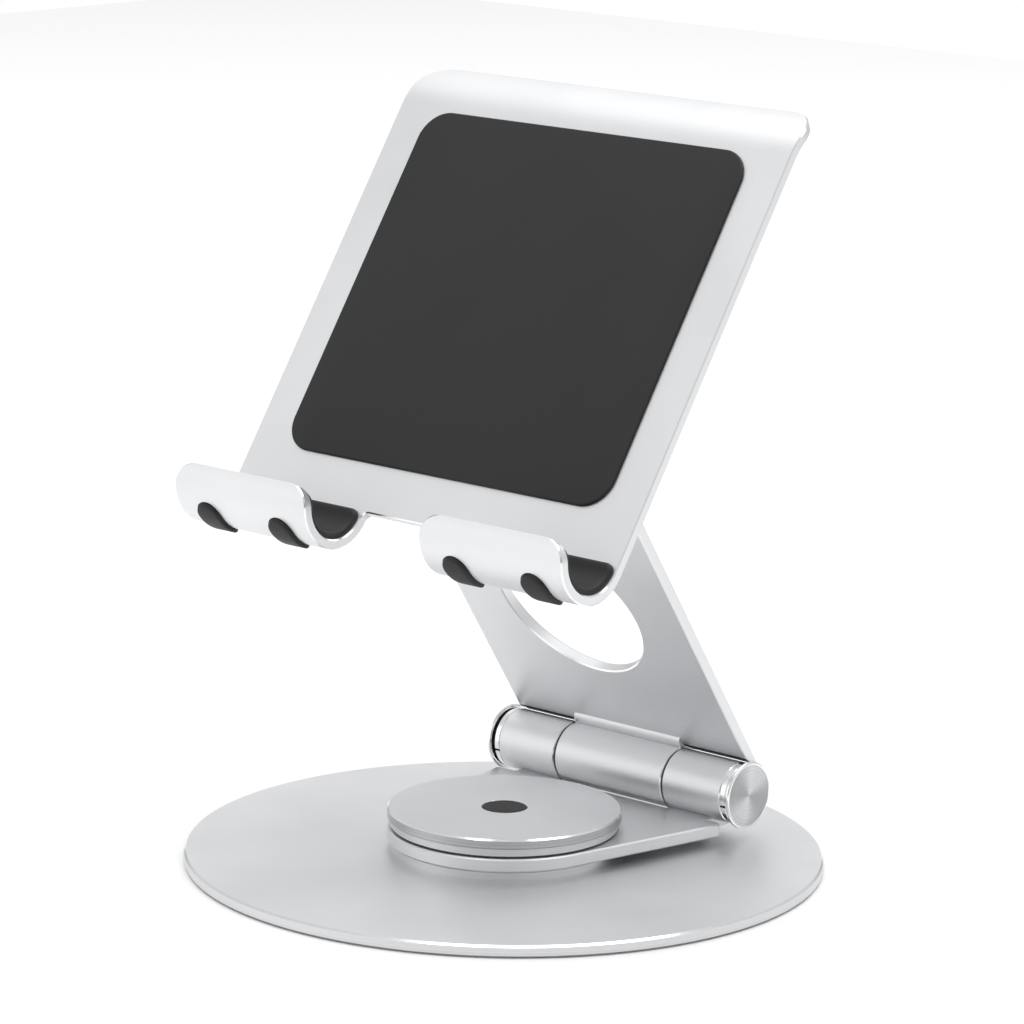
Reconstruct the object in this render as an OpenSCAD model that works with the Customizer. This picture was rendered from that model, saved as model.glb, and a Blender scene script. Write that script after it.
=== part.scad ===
// Folding tablet stand on a round base: a disc, a plate that swivels on it, a strut
// and a tablet holder, joined by two friction hinges.
// Frame: +X to the user's right along the hinge axes, +Y to the rear, +Z up.
// The origin is the centre of the underside of the base. Millimetres.

/* [Base] */
// Diameter of the round base
base_d = 160; // [140:1:200]
// Height of the base, from the table to its top face
base_h = 3.2; // [3:0.1:6]
// Bevel around the top rim of the base
base_bevel = 0.5; // [0.2:0.1:1]
// Diameter of the anti-slip pad under the base
pad_d = 150; // [120:1:152]
// Thickness of the anti-slip pad
pad_t = 1.2; // [1:0.1:1.6]
// How far the pad stands below the metal
pad_proud = 0.4; // [0.2:0.1:0.6]

/* [Swivel] */
// Diameter of the cap disc and of the round end of the swivel plate
cap_d = 58.8; // [50:0.2:64]
// Diameter of the boss and of the spacer, a little smaller than the cap
boss_d = 57.2; // [48:0.2:62]
// Height of the boss on the base
boss_h = 2.1; // [2:0.1:4]
// Thickness of the swivel plate
plate_t = 3.3; // [3:0.1:5]
// Thickness of the slip washer under the swivel plate
slip_low_t = 0.2; // [0.2:0.1:0.4]
// Thickness of the slip washer on the swivel plate
slip_up_t = 0.4; // [0.3:0.1:0.6]
// Height of the spacer disc
spacer_h = 2.1; // [1.6:0.1:3]
// Height of the cap disc
cap_h = 2.5; // [2.4:0.1:4]
// Diameter of the rubber plug in the cap disc
plug_d = 11.3; // [11.2:0.1:14]
// Diameter of the pivot bush that the plate turns on
pivot_d = 12; // [11:0.5:16]
// Diameter of the pivot screw
pivot_screw_d = 6; // [5:1:6]
// Number of screws that hold the boss to the base
boss_screws_n = 4; // [3:1:6]

/* [Hinges] */
// Distance of the lower hinge axis behind the swivel axis
lower_y = 47.3; // [44:0.1:55]
// Height of the lower hinge axis over the table
lower_z = 15.2; // [15:0.1:18]
// Radius of the hinge knuckles
knuckle_r = 7.9; // [7:0.1:9]
// Radius of the end caps
end_cap_r = 8.6; // [8:0.1:9.2]
// Width of the middle knuckle, which belongs to the strut
mid_w = 35.4; // [30:0.2:38]
// Thickness of the nylon washer between two knuckles
nylon_t = 0.6; // [0.4:0.1:1]
// Outer end of the lower hinge's outer knuckles
lower_end = 37; // [36:0.1:40]
// Outer end of the upper hinge's outer knuckles
upper_end = 28; // [27:0.1:32]
// Thickness of the split ring between knuckle and cap
ring_t = 1.7; // [1:0.1:2]
// Width of the shadow gap between split ring and cap
cap_gap = 0.6; // [0.2:0.05:0.8]
// Thickness of an end cap's disc
end_cap_t = 1.1; // [1:0.1:2]
// Diameter of the hinge bolts
bolt_d = 6; // [5:1:6]

/* [Strut] */
// Angle of the strut over the horizontal, leaning forwards
strut_angle = 55.6; // [50:0.1:60]
// Distance between the two hinge axes
strut_len = 102.5; // [98:0.5:110]
// Width of the strut
strut_w = 76.4; // [72:0.2:80]
// Thickness of the strut
strut_t = 3; // [2.5:0.1:3]
// Distance of the strut's lower face from the hinge axes
strut_off = 5.9; // [5.5:0.1:6]
// Radius of the hollow in the lower end of the strut, where the outer knuckles turn
strut_hollow_r = 8.4; // [8.3:0.1:8.8]
// Distance of the strut's upper edge from the upper hinge axis
strut_gap = 7.05; // [7:0.05:9]
// Diameter of the cable hole
hole_d = 44; // [30:1:50]
// Distance of the cable hole's centre from the lower axis
hole_s = 51.3; // [48:0.1:54]

/* [Holder] */
// Angle of the holder over the horizontal, leaning backwards
holder_angle = 56.3; // [50:0.1:62]
// Width of the holder
holder_w = 126.2; // [120:0.2:140]
// Thickness of the holder's sheet
sheet_t = 2.5; // [2:0.1:3]
// Lower edge of the sheet between the hooks
sheet_low = -0.5; // [-1:0.1:0]
// Upper end of the flat part of the sheet
sheet_high = 108; // [104:1:112]
// Radius of the flared top edge
flare_r = 20.5; // [18:0.5:26]
// Angle of the flared top edge
flare_angle = 44.2; // [30:0.2:50]
// Radius of the sheet's top corners
corner_r = 9.9; // [8:0.1:12]
// Height of the upper hinge axis over the holder's lower line
hinge_t = 18.9; // [18:0.1:22]
// Distance of the upper hinge axis behind the holder's face
hinge_back = 14.2; // [14.2:0.1:16]
// Inner radius of the hooks
hook_r = 9.2; // [8:0.1:11]
// Height of the hooks' axis over the holder's lower line
hook_t = -2.2; // [-3:0.1:-2]
// Half of the gap between the hooks
hook_in = 18.5; // [18:0.1:24]
// Angle by which a hook stops short of a half circle
hook_short = 6; // [0:1:12]
// Radius of the lip's corners
lip_r = 6; // [4:0.5:7]

/* [Pads] */
// Width of the face pad
face_w = 104.6; // [90:0.2:110]
// Lower edge of the face pad
face_low = 11.9; // [11:0.1:14]
// Upper edge of the face pad
face_high = 107.3; // [96:0.1:107.8]
// Thickness of the face pad
face_t = 0.8; // [0.5:0.1:1.5]
// Radius of the face pad's corners
face_r = 8; // [6:0.5:12]
// Thickness of the hook liners
liner_t = 1.5; // [1:0.1:2]
// Distance of a liner's ends from the hook's ends
liner_in = 0.7; // [0.4:0.1:1.5]
// Width of the tabs that lock a liner in its hook
tab_w = 7.6; // [6:0.1:9]
// Distance of a tab's centre from the middle of the hook
tab_off = 12.2; // [10:0.1:13]
// How far the tabs stand out of the hook
tab_proud = 1; // [0.8:0.1:1.5]
// Angle at which a tab starts, from the hook's front
tab_start = 54; // [45:1:55]
// Angle at which a tab ends
tab_end = 118; // [112:1:122]

/* [Hidden] */
$fn = 96;

// Colours of the finishes
satin = "silver";
spun = "gainsboro";
steel = "slategray";
nylon = "ivory";
silicone = [0.11, 0.11, 0.12];

// Small gap that a fitted piece has in its seat, and the running fit of a pin in its bore
seat = 0.05;
running = 0.05;
// What a rounding reaches past the face it runs into, so that the two cross
nick = 0.02;

// Heights of the swivel stack
boss_top = base_h + boss_h;
plate_low = boss_top + slip_low_t;
plate_top = plate_low + plate_t;
spacer_low = plate_top + slip_up_t;
cap_low = spacer_low + spacer_h;
cap_top = cap_low + cap_h;
cap_floor = 0.6;
plug_t = 0.7;
screw_head_t = 0.9;
small_bevel = 0.35;

// Fastener sizes
m3_r = 1.5;
m3_head_r = 2.8;
m3_head_h = 1.3;
boss_screw_circle = 20;
boss_screw_top = boss_top - 0.4;
nut_flange_r = 7.9;

// Swivel plate outline: rear corners and the seat of the outer knuckles
plate_rear_x = 37.6;
plate_rear_y = 40.2;
plate_corner_r = 1.6;
seat_front = 40.8;
notch_front = 40.8;
seat_end = 32;

// Hinge stations along X
mid_end = mid_w / 2;
outer_start = mid_end + nylon_t;
bolt_r = bolt_d / 2;
bolt_head_r = 5.2;
counterbore_r = 5.6;
counterbore_depth = 6.8;
bolt_head_t = 3.6;
springs_n = 3;
spring_pitch = 0.62;
nut_t = 3;
nut_across_corners = 10.2;
spigot_t = 0.8;
bush_r = 4.5;
ring_in_r = 5.9;
ring_slit = 0.6;
ring_slit_angle = 194;

// Strut ends
strut_tip = 2.5;
neck_top = 8.7;

// Upper hinge axis, and the holder's own frame
upper_y = lower_y - strut_len * cos(strut_angle);
upper_z = lower_z + strut_len * sin(strut_angle);
bracket_t = 2.5;
bracket_low = 9.9;
bracket_high = 31.9;
bracket_half = 29.5;
bracket_screw_x = 24;
bracket_screw_low = 15.5;
bracket_screw_high = 27.6;
bracket_screw_grip = 2;
web_half = 6;

// Hooks
hook_out = holder_w / 2;
hook_mid = (hook_in + hook_out) / 2;
hook_outer_r = hook_r + sheet_t;
cut_fillet = 2;

// ---------- placing ----------

// Lower hinge frame: origin on the axis
module at_lower_hinge() {
  translate([0, lower_y, lower_z]) children();
}

// Strut frame: Y along the strut from the lower axis, Z out of its lower face
module in_strut() {
  at_lower_hinge() rotate([180 - strut_angle, 0, 0]) children();
}

// Upper hinge frame: origin on the axis, Y up the holder, Z out of its face
module at_upper_hinge() {
  translate([0, upper_y, upper_z]) rotate([holder_angle, 0, 0]) children();
}

// Holder frame: Y up the sheet, Z out of its face, Z = 0 on the face
module in_holder() {
  at_upper_hinge() translate([0, -hinge_t, hinge_back]) children();
}

// A shape turned so that its own Z runs along X and its own X along Y
module along_x() {
  rotate([90, 0, 90]) children();
}

// Both the right-hand and the left-hand copy of a shape
module both_sides() {
  children();
  mirror([1, 0, 0]) children();
}

// ---------- shared shapes ----------

// Solid of revolution: a disc from z0 to z1 with bevels at its two rims
module bevelled_disc(r, z0, z1, low = 0, high = 0) {
  rotate_extrude()
    polygon([[0, z0], [r - low, z0], [r, z0 + low], [r, z1 - high], [r - high, z1], [0, z1]]);
}

// Flat ring from z0 to z1
module ring(r_in, r_out, z0, z1) {
  rotate_extrude() translate([r_in, z0]) square([r_out - r_in, z1 - z0]);
}

// Sheet curled around X, from -Z over -Y towards +Z
module curl(r_in, r_out, x0, x1, angle) {
  rotate([180, 90, 0]) rotate_extrude(angle = angle)
    translate([r_in, -x1]) square([r_out - r_in, x1 - x0]);
}

// Round bar along X with bevelled ends
module bar_x(r, x0, x1, bevel = 0) {
  along_x() bevelled_disc(r, x0, x1, bevel, bevel);
}

// Plate with round corners of radius r
module round_plate(x0, x1, y0, y1, r, t) {
  linear_extrude(t) {
    translate([x0 + r, y0]) square([x1 - x0 - 2 * r, y1 - y0]);
    translate([x0, y0 + r]) square([x1 - x0, y1 - y0 - 2 * r]);
    for (x = [x0 + r, x1 - r]) {
      for (y = [y0 + r, y1 - r]) translate([x, y]) circle(r);
    }
  }
}

// What to cut from a corner at [0, 0], inside towards -X and -Y, to round it
module corner_cutter(r, z0, z1) {
  translate([-r, -r, z0]) difference() {
    cube([r + 2, r + 2, z1 - z0]);
    translate([0, 0, -1]) cylinder(r = r + nick, h = z1 - z0 + 2);
  }
}

// Countersunk screw: head at z = 0, shank upwards
module flat_screw(length) {
  rotate_extrude()
    polygon([[0, 0], [m3_head_r, 0], [m3_r, m3_head_h], [m3_r, length], [0, length]]);
}

// The hole such a screw sits in
module flat_screw_hole(length) {
  rotate_extrude()
    polygon([
      [0, -0.5], [m3_head_r + seat, -0.5], [m3_head_r + seat, 0.02],
      [m3_r + seat, m3_head_h + 0.02], [m3_r + seat, length], [0, length]
    ]);
}

// ---------- base and pivot ----------

module boss_screw_places() {
  for (i = [0 : boss_screws_n - 1])
    rotate([0, 0, 45 + i * 360 / boss_screws_n]) translate([boss_screw_circle, 0, pad_t]) children();
}

module base_disc() {
  color(satin) difference() {
    bevelled_disc(base_d / 2, pad_proud, base_h, 0.3, base_bevel);
    translate([0, 0, -1]) cylinder(d = pad_d + 2 * seat, h = pad_t + 1);
    cylinder(r = nut_flange_r + 0.2, h = base_h + 1);
    boss_screw_places() flat_screw_hole(base_h);
  }
}

module base_pad() {
  color(silicone) bevelled_disc(pad_d / 2, 0, pad_t, 0.3, 0);
}

module swivel_boss() {
  color(satin) difference() {
    bevelled_disc(boss_d / 2, base_h, boss_top, 0, 0.2);
    cylinder(d = pivot_screw_d + 2 * seat, h = boss_top + 1);
    boss_screw_places() cylinder(r = m3_r + seat, h = boss_screw_top + 0.1 - pad_t);
  }
}

module boss_screws() {
  color(steel) boss_screw_places() flat_screw(boss_screw_top - pad_t);
}

module pivot_bush() {
  color(steel) ring(pivot_screw_d / 2 + seat, pivot_d / 2, boss_top, spacer_low);
}

module pivot_screw() {
  head_low = cap_top - plug_t - screw_head_t;
  color(steel) {
    translate([0, 0, pad_t + 0.3]) cylinder(d = pivot_screw_d, h = head_low - pad_t - 0.3);
    translate([0, 0, head_low]) difference() {
      cylinder(r = plug_d / 2 - 0.5, h = screw_head_t);
      translate([0, 0, 0.3]) cylinder(d = 4, h = screw_head_t, $fn = 6);
    }
  }
}

module pivot_spring_washer() {
  head_low = cap_top - plug_t - screw_head_t;
  color(steel) ring(pivot_screw_d / 2 + seat, plug_d / 2 - 0.6, cap_low + cap_floor, head_low);
}

module pivot_nut() {
  color(steel) difference() {
    translate([0, 0, pad_t + 0.1]) cylinder(r = nut_flange_r, h = base_h - pad_t - 0.1);
    cylinder(d = pivot_screw_d + 2 * seat, h = base_h + 1);
    for (a = [0, 180])
      rotate([0, 0, a]) translate([5.2, 0, 0]) cylinder(d = 1.6, h = base_h - 0.8);
  }
}

module slip_washer_lower() {
  color(nylon) ring(pivot_d / 2 + 0.4, boss_d / 2 - 3, boss_top, plate_low);
}

module slip_washer_upper() {
  color(nylon) ring(pivot_d / 2 + 0.4, boss_d / 2 - 3, plate_top, spacer_low);
}

module spacer_disc() {
  color(satin) difference() {
    bevelled_disc(boss_d / 2, spacer_low, cap_low, 0.2, 0);
    cylinder(d = pivot_screw_d + 2 * seat, h = cap_low + 1);
  }
}

module cap_disc() {
  color(satin) difference() {
    bevelled_disc(cap_d / 2, cap_low, cap_top, 0.2, small_bevel);
    cylinder(d = pivot_screw_d + 2 * seat, h = cap_top);
    translate([0, 0, cap_low + cap_floor]) cylinder(d = plug_d + 2 * seat, h = cap_h);
  }
}

module cap_plug() {
  color(silicone) bevelled_disc(plug_d / 2, cap_top - plug_t, cap_top, 0, 0.15);
}

// ---------- hinge pieces, each about an axis along X ----------

// Bolt: head at the left, shank through both outer knuckles
module hinge_bolt(knuckle_end) {
  seat_x = knuckle_end - counterbore_depth;
  color(steel) along_x() {
    translate([0, 0, -seat_x]) cylinder(r = bolt_r, h = 2 * seat_x + springs_n * spring_pitch + nut_t + 0.3);
    translate([0, 0, -seat_x - bolt_head_t]) difference() {
      cylinder(r = bolt_head_r, h = bolt_head_t);
      translate([0, 0, -1]) cylinder(d = 4.6, h = 3, $fn = 6);
    }
  }
}

// Disc springs, cupped in turn to one side and the other
module disc_springs(knuckle_end) {
  seat_x = knuckle_end - counterbore_depth;
  color(steel) for (i = [0 : springs_n - 1]) {
    cup = i % 2 == 0 ? 0.15 : -0.15;
    translate([seat_x + (i + 0.5) * spring_pitch, 0, 0]) along_x() rotate_extrude()
      polygon([
        [bolt_r + seat, -0.13 + cup], [bolt_head_r - 0.1, -0.13 - cup],
        [bolt_head_r - 0.1, 0.13 - cup], [bolt_r + seat, 0.13 + cup]
      ]);
  }
}

module hinge_nut(knuckle_end) {
  nut_x = knuckle_end - counterbore_depth + springs_n * spring_pitch;
  color(steel) translate([nut_x, 0, 0]) along_x() difference() {
    cylinder(d = nut_across_corners, h = nut_t, $fn = 6);
    translate([0, 0, -1]) cylinder(r = bolt_r + seat, h = nut_t + 2);
  }
}

// The two nylon washers between middle and outer knuckles
module nylon_washers() {
  color(nylon) both_sides() along_x() ring(bolt_r + seat, knuckle_r - 0.5, mid_end, outer_start);
}

// Split ring between an outer knuckle and its cap
module split_ring(knuckle_end) {
  color(spun) difference() {
    along_x() ring(ring_in_r, knuckle_r - 0.1, knuckle_end, knuckle_end + ring_t);
    translate([knuckle_end - 1, 0, 0]) rotate([ring_slit_angle, 0, 0])
      translate([0, 0, -ring_slit / 2]) cube([ring_t + 2, knuckle_r + 2, ring_slit]);
  }
}

// End cap: a disc with a round rim on a spigot that is pressed into the knuckle
module end_cap(knuckle_end) {
  disc_low = knuckle_end + ring_t + cap_gap;
  color(spun) along_x() rotate_extrude()
    polygon([
      [0, knuckle_end - spigot_t], [counterbore_r - seat, knuckle_end - spigot_t],
      [counterbore_r - seat, disc_low], [end_cap_r - 0.3, disc_low],
      [end_cap_r, disc_low + 0.3], [end_cap_r, disc_low + end_cap_t - 0.45],
      [end_cap_r - 0.15, disc_low + end_cap_t - 0.15], [end_cap_r - 0.5, disc_low + end_cap_t],
      [0, disc_low + end_cap_t]
    ]);
}

// Outer knuckle with its through bore and the counterbore at its outer end
module outer_knuckle(knuckle_end) {
  bar_x(knuckle_r, outer_start, knuckle_end, small_bevel);
}

module outer_knuckle_bores(knuckle_end) {
  seat_x = knuckle_end - counterbore_depth;
  along_x() {
    translate([0, 0, outer_start - 1]) cylinder(r = bolt_r + running, h = knuckle_end);
    translate([0, 0, seat_x]) cylinder(r = counterbore_r, h = counterbore_depth + 1);
  }
}

// ---------- swivel ----------

// Outline of the teardrop plate: a large circle, two rear corners and the common tangents
module teardrop(inset) {
  corner_x = plate_rear_x - plate_corner_r;
  corner_y = plate_rear_y - plate_corner_r;
  corner_r = plate_corner_r - inset;
  round_r = cap_d / 2 - inset;
  reach = sqrt(corner_x * corner_x + corner_y * corner_y);
  tangent = atan2(corner_y, corner_x) - acos((round_r - corner_r) / reach);
  side_x = corner_x + corner_r * cos(tangent);
  side_y = corner_y + corner_r * sin(tangent);
  front_x = round_r * cos(tangent);
  front_y = round_r * sin(tangent);
  circle(round_r + nick);
  polygon([
    [0, front_y], [front_x, front_y], [side_x, side_y], [corner_x, corner_y], [corner_x, corner_y + corner_r],
    [-corner_x, corner_y + corner_r], [-corner_x, corner_y], [-side_x, side_y], [-front_x, front_y]
  ]);
  for (x = [-corner_x, corner_x]) translate([x, corner_y]) circle(corner_r + nick);
}

// Bevelled plate, as three layers
module teardrop_plate() {
  bevel = 0.3;
  translate([0, 0, plate_low + bevel]) linear_extrude(plate_t - 2 * bevel) teardrop(0);
  translate([0, 0, plate_low]) linear_extrude(plate_t) teardrop(bevel);
}

// Seat that carries one outer knuckle, in the frame of the swivel axis
module knuckle_seat() {
  front = seat_front - lower_y;
  low = plate_low - lower_z;
  translate([outer_start, lower_y, lower_z]) along_x() linear_extrude(seat_end - outer_start)
    polygon([
      [front - 4, low], [front - 4, plate_top - lower_z], [-4.2, plate_top - lower_z],
      [0, 0], [6, -4.6], [4.4, low + 1.2], [2.6, low]
    ]);
}

module swivel_plate() {
  color(satin) difference() {
    union() {
      teardrop_plate();
      both_sides() {
        knuckle_seat();
        at_lower_hinge() outer_knuckle(lower_end);
      }
    }
    translate([0, 0, plate_low - 1])
      cylinder(r = pivot_d / 2 + running, h = plate_t + 2);
    translate([-outer_start, notch_front, plate_low - 1]) cube([2 * outer_start, 30, 30]);
    both_sides() at_lower_hinge() outer_knuckle_bores(lower_end);
  }
}

module lower_bolt() { at_lower_hinge() hinge_bolt(lower_end); }
module lower_nut() { at_lower_hinge() hinge_nut(lower_end); }
module lower_disc_springs() { at_lower_hinge() disc_springs(lower_end); }
module lower_nylon_washers() { at_lower_hinge() nylon_washers(); }
module lower_ring_right() { at_lower_hinge() split_ring(lower_end); }
module lower_ring_left() { at_lower_hinge() mirror([1, 0, 0]) split_ring(lower_end); }
module lower_cap_right() { at_lower_hinge() end_cap(lower_end); }
module lower_cap_left() { at_lower_hinge() mirror([1, 0, 0]) end_cap(lower_end); }

// ---------- strut ----------

// Flat part of the strut: hollow below, where the outer knuckles turn, half round above
module strut_blade() {
  high = strut_len - strut_gap - strut_t / 2;
  difference() {
    translate([-strut_w / 2, strut_tip, -strut_off - strut_t])
      cube([strut_w, high - strut_tip, strut_t]);
    translate([-strut_w / 2 - 1, 0, 0]) along_x() cylinder(r = strut_hollow_r, h = strut_w + 2);
  }
  translate([0, high, -strut_off - strut_t / 2]) bar_x(strut_t / 2, -strut_w / 2, strut_w / 2);
}

// Neck that joins the blade to a middle knuckle, and the knuckle, about its own axis
module strut_knuckle() {
  face = -strut_off;
  back = -strut_off - strut_t;
  translate([-mid_end, 0, 0]) along_x() linear_extrude(mid_w)
    polygon([
      [neck_top, face], [6.3, -4.6], [0, 0], [-1, 0.2 - knuckle_r], [2.2, back],
      [neck_top + 1, back], [neck_top + 1, face]
    ]);
  bar_x(knuckle_r, -mid_end, mid_end, small_bevel);
}

module strut() {
  color(satin) in_strut() difference() {
    union() {
      strut_blade();
      strut_knuckle();
      translate([0, strut_len, 0]) mirror([0, 1, 0]) strut_knuckle();
    }
    translate([0, hole_s, -strut_off - strut_t - 1]) cylinder(d = hole_d, h = strut_t + 2);
    for (y = [0, strut_len])
      translate([-mid_end - 1, y, 0]) along_x() cylinder(r = bush_r + 0.02, h = mid_w + 2);
  }
}

// Sleeve that lines a middle knuckle
module strut_bush() {
  color(nylon) translate([-mid_end, 0, 0]) along_x() ring(bolt_r + running, bush_r, 0, mid_w);
}

module strut_bush_lower() { in_strut() strut_bush(); }
module strut_bush_upper() { in_strut() translate([0, strut_len, 0]) strut_bush(); }

// ---------- holder ----------

module upper_bolt() { at_upper_hinge() hinge_bolt(upper_end); }
module upper_nut() { at_upper_hinge() hinge_nut(upper_end); }
module upper_disc_springs() { at_upper_hinge() disc_springs(upper_end); }
module upper_nylon_washers() { at_upper_hinge() nylon_washers(); }
module upper_ring_right() { at_upper_hinge() split_ring(upper_end); }
module upper_ring_left() { at_upper_hinge() mirror([1, 0, 0]) split_ring(upper_end); }
module upper_cap_right() { at_upper_hinge() end_cap(upper_end); }
module upper_cap_left() { at_upper_hinge() mirror([1, 0, 0]) end_cap(upper_end); }

module bracket_screw_places() {
  for (x = [-bracket_screw_x, bracket_screw_x]) {
    for (t = [bracket_screw_low, bracket_screw_high])
      translate([x, t, 0]) rotate([180, 0, 0]) children();
  }
}

// Web between the bracket's plate and one outer knuckle, about the hinge axis
module bracket_web() {
  back = hinge_back - sheet_t - bracket_t;
  translate([outer_start, 0, 0]) along_x() linear_extrude(upper_end - outer_start)
    polygon([
      [-web_half, back + 0.5], [-knuckle_r * 0.9, 3], [0, 0], [knuckle_r * 0.9, 3],
      [web_half, back + 0.5]
    ]);
}

module holder_bracket() {
  color(satin) difference() {
    union() {
      in_holder() translate([0, 0, -sheet_t - bracket_t])
        round_plate(-bracket_half, bracket_half, bracket_low, bracket_high, 3, bracket_t);
      at_upper_hinge() both_sides() {
        bracket_web();
        outer_knuckle(upper_end);
      }
    }
    both_sides() at_upper_hinge() outer_knuckle_bores(upper_end);
    in_holder() bracket_screw_places() cylinder(r = m3_r + seat, h = sheet_t + bracket_screw_grip + 0.1);
  }
}

// Slot, or tab, through a hook: a stadium between two radii of the bend
module stadium(width, r_in, r_out) {
  end_angle = atan(tab_w / 2 / hook_outer_r);
  a0 = tab_start + end_angle;
  a1 = tab_end - end_angle;
  intersection() {
    curl(r_in, r_out, -width, width, 180);
    union() {
      rotate([a1 - 180, 0, 0])
        curl(r_in - 1, r_out + 1, nick - width / 2, width / 2 - nick, a1 - a0);
      for (a = [a0, a1])
        rotate([a, 0, 0]) translate([0, 0, r_in - 1]) cylinder(d = width, h = r_out - r_in + 2);
    }
  }
}

module tab_places() {
  for (x = [-tab_off, tab_off]) translate([hook_mid + x, hook_t, hook_r]) children();
}

// One hook with its two slots and round lip corners
module hook() {
  difference() {
    translate([0, hook_t, hook_r]) curl(hook_r, hook_outer_r, hook_in, hook_out, 180 - hook_short);
    tab_places() stadium(tab_w + 2 * seat, hook_r - 1, hook_outer_r + 1);
    translate([0, hook_t, hook_r]) rotate([hook_short, 0, 0]) {
      translate([hook_out, 0, 0]) corner_cutter(lip_r, 4, hook_outer_r + 2);
      translate([hook_in, 0, 0]) mirror([1, 0, 0]) corner_cutter(lip_r, 4, hook_outer_r + 2);
    }
  }
}

// Flat sheet, with round inner corners where the hooks start
module sheet() {
  low = hook_t;
  translate([-hook_out, sheet_low, -sheet_t])
    cube([holder_w, sheet_high - sheet_low, sheet_t]);
  both_sides() {
    translate([hook_in, low, -sheet_t]) cube([hook_out - hook_in, sheet_low - low, sheet_t]);
    translate([hook_in - cut_fillet, sheet_low - cut_fillet, -sheet_t]) difference() {
      cube([cut_fillet, cut_fillet, sheet_t]);
      translate([0, 0, -1]) cylinder(r = cut_fillet + nick, h = sheet_t + 2);
    }
  }
}

// Top edge, bent to the rear, with round corners
module flare() {
  chord_angle = flare_angle - corner_r / flare_r * 90 / PI;
  difference() {
    translate([0, sheet_high, -flare_r]) rotate([180, 0, 0])
      curl(flare_r - sheet_t, flare_r, -hook_out, hook_out, flare_angle);
    both_sides()
      translate([hook_out, sheet_high + flare_r * sin(flare_angle), flare_r * (cos(flare_angle) - 1)])
      rotate([-chord_angle, 0, 0]) corner_cutter(corner_r, -5, 4);
  }
}

module holder_plate() {
  color(satin) in_holder() difference() {
    union() {
      sheet();
      flare();
      both_sides() hook();
    }
    bracket_screw_places() flat_screw_hole(sheet_t + 1);
  }
}

module bracket_screws() {
  color(steel) in_holder() bracket_screw_places() flat_screw(sheet_t + bracket_screw_grip);
}

module face_pad() {
  color(silicone) in_holder()
    round_plate(-face_w / 2, face_w / 2, face_low, face_high, face_r, face_t);
}

// Liner of the right-hand hook with its two tabs
module hook_liner() {
  x0 = hook_in + liner_in;
  x1 = hook_out - liner_in;
  inner = hook_r - liner_t;
  color(silicone) difference() {
    union() {
      translate([0, hook_t, hook_r]) curl(inner, hook_r, x0, x1, 178 - hook_short);
      translate([x0, hook_t, 0]) cube([x1 - x0, sheet_low + 0.1 - hook_t, liner_t]);
      tab_places() stadium(tab_w, hook_r - 0.7, hook_outer_r + tab_proud);
    }
    for (side = [[x1, 0], [x0, 1]]) {
      translate([side[0], 0, 0]) mirror([side[1], 0, 0]) {
        translate([0, hook_t, hook_r]) rotate([hook_short + 2, 0, 0])
          corner_cutter(lip_r - liner_in, 4, hook_r + 2);
        translate([0, sheet_low + 0.1, 0]) corner_cutter(2.2, -1, liner_t + 0.6);
      }
    }
  }
}

module hook_liner_right() { in_holder() hook_liner(); }
module hook_liner_left() { in_holder() mirror([1, 0, 0]) hook_liner(); }

// ---------- output ----------

base_disc();
base_pad();
swivel_boss();
boss_screws();
pivot_bush();
pivot_screw();
pivot_spring_washer();
pivot_nut();
slip_washer_lower();
slip_washer_upper();
spacer_disc();
cap_disc();
cap_plug();
swivel_plate();
lower_bolt();
lower_nut();
lower_disc_springs();
lower_nylon_washers();
lower_ring_left();
lower_ring_right();
lower_cap_left();
lower_cap_right();
strut();
strut_bush_lower();
strut_bush_upper();
holder_bracket();
upper_bolt();
upper_nut();
upper_disc_springs();
upper_nylon_washers();
upper_ring_left();
upper_ring_right();
upper_cap_left();
upper_cap_right();
holder_plate();
bracket_screws();
face_pad();
hook_liner_left();
hook_liner_right();
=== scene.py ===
"""Looks of the folding tablet stand: anodised aluminium, turned hinge caps and black silicone."""

import logging
import math
from collections.abc import Callable, Iterable, Sequence
from dataclasses import dataclass, field
from enum import Enum

import bmesh
import bpy
from mathutils import Matrix, Vector


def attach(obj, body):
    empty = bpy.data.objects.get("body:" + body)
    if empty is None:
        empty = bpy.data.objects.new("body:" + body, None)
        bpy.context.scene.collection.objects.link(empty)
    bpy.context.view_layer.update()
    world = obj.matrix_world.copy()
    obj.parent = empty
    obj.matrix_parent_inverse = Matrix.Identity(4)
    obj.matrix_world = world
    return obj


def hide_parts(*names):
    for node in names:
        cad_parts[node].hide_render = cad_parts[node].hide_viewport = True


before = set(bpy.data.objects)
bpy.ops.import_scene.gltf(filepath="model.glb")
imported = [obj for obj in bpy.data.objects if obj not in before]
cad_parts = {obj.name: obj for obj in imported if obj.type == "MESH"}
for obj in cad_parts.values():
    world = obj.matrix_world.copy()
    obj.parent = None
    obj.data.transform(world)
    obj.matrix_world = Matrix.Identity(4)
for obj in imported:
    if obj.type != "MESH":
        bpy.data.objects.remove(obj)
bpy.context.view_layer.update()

LOG = logging.getLogger("tablet_stand")
MM = 0.001

Point2 = tuple[float, float]
Loop = list[Point2]
Level = tuple[float, float]
Feed = bpy.types.NodeSocket | float | Sequence[float]

# How much of the surface's value is fine grain, and how deep grain and lathe marks are, in metres
GRAIN_SHARE = 0.35
GRAIN_DEPTH = 0.00002
TURNING_DEPTH = 0.00003
# Part of the groups' value over which colour and roughness go from one end to the other
NOISE_RANGE = (0.3, 0.7)
# Edges over this angle in degrees stay sharp
SHARP = 32.0


class Side(Enum):
    """Left or right half of the stand, as its user sees it."""

    LEFT = -1.0
    RIGHT = 1.0


# ---------------------------------------------------------------- shader groups


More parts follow.
